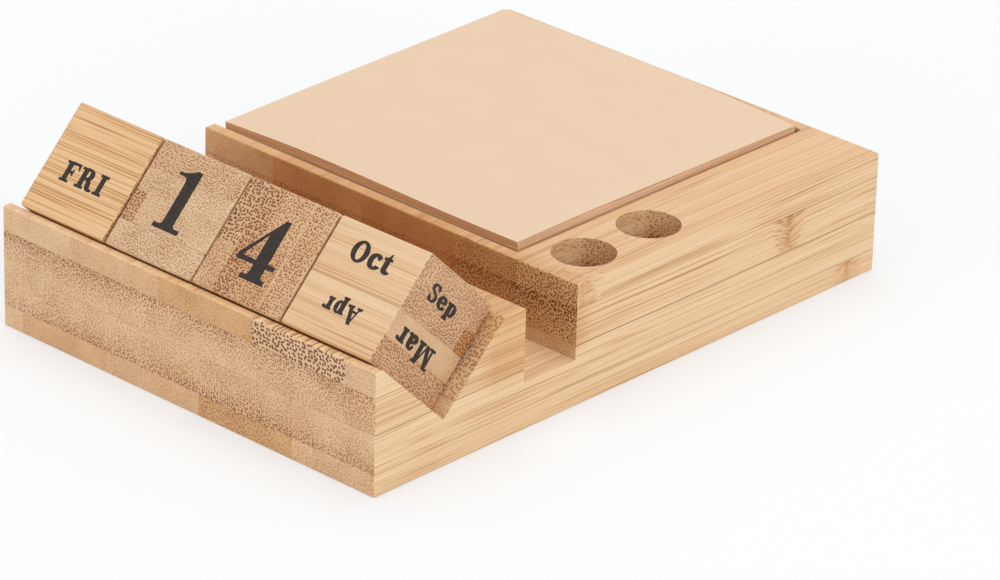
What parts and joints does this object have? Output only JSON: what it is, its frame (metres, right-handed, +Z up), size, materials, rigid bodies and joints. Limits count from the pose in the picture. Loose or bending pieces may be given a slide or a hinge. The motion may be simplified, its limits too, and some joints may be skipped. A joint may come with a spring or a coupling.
{
  "type": "desk organiser with perpetual calendar",
  "caption": "Bamboo desk block with date cubes lying in a V-groove, a slot that stands a phone, pen holes and an open recess with a square memo pad.",
  "frame": {"origin": "centre of the footprint, on the desk", "axes": "+Z up, -Y towards the user (the cubes are at the -Y edge), +X to the user's right (the pen-hole side)"},
  "size_m": [0.1, 0.141, 0.0426],
  "materials": {
    "bamboo_board": "laminated bamboo, sanded, thin matt varnish",
    "bamboo_cube": "laminated bamboo, sanded, thin matt varnish",
    "printing_ink": "matt black pad-printed ink",
    "kraft_paper": "uncoated kraft paper",
    "grey_card": "uncoated board",
    "padding_glue": "dried padding glue, slightly glossy"
  },
  "bodies": {
    "organiser_block": {"lower_board": "bamboo_board", "front_lip": "bamboo_board", "divider_ridge": "bamboo_board", "recess_strip": "bamboo_board", "side_wall": "bamboo_board", "rear_wall": "bamboo_board"},
    "weekday_cube": {"weekday_cube": "bamboo_cube"},
    "tens_cube": {"tens_cube": "bamboo_cube"},
    "units_cube": {"units_cube": "bamboo_cube"},
    "month_cube": {"month_cube": "bamboo_cube"},
    "memo_pad": {"backing_card": "grey_card", "paper_block": "kraft_paper", "glue_binding": "padding_glue"},
    "top_leaf": {"top_leaf": "kraft_paper"}
  },
  "joints": [
    {"name": "weekday_lift", "type": "slide", "parent": "organiser_block", "child": "weekday_cube", "axis": [0, 0, 1], "range_m": [0, 0.03]},
    {"name": "tens_lift", "type": "slide", "parent": "organiser_block", "child": "tens_cube", "axis": [0, 0, 1], "range_m": [0, 0.03]},
    {"name": "units_lift", "type": "slide", "parent": "organiser_block", "child": "units_cube", "axis": [0, 0, 1], "range_m": [0, 0.03]},
    {"name": "month_lift", "type": "slide", "parent": "organiser_block", "child": "month_cube", "axis": [0, 0, 1], "range_m": [0, 0.03]},
    {"name": "pad_lift", "type": "slide", "parent": "organiser_block", "child": "memo_pad", "axis": [0, 0, 1], "range_m": [0, 0.03]},
    {"name": "leaf_peel", "type": "hinge", "parent": "memo_pad", "child": "top_leaf", "pos_m": [0, 0.067, 0.0265], "axis": [-1, 0, 0], "range_deg": [0, 100]}
  ]
}
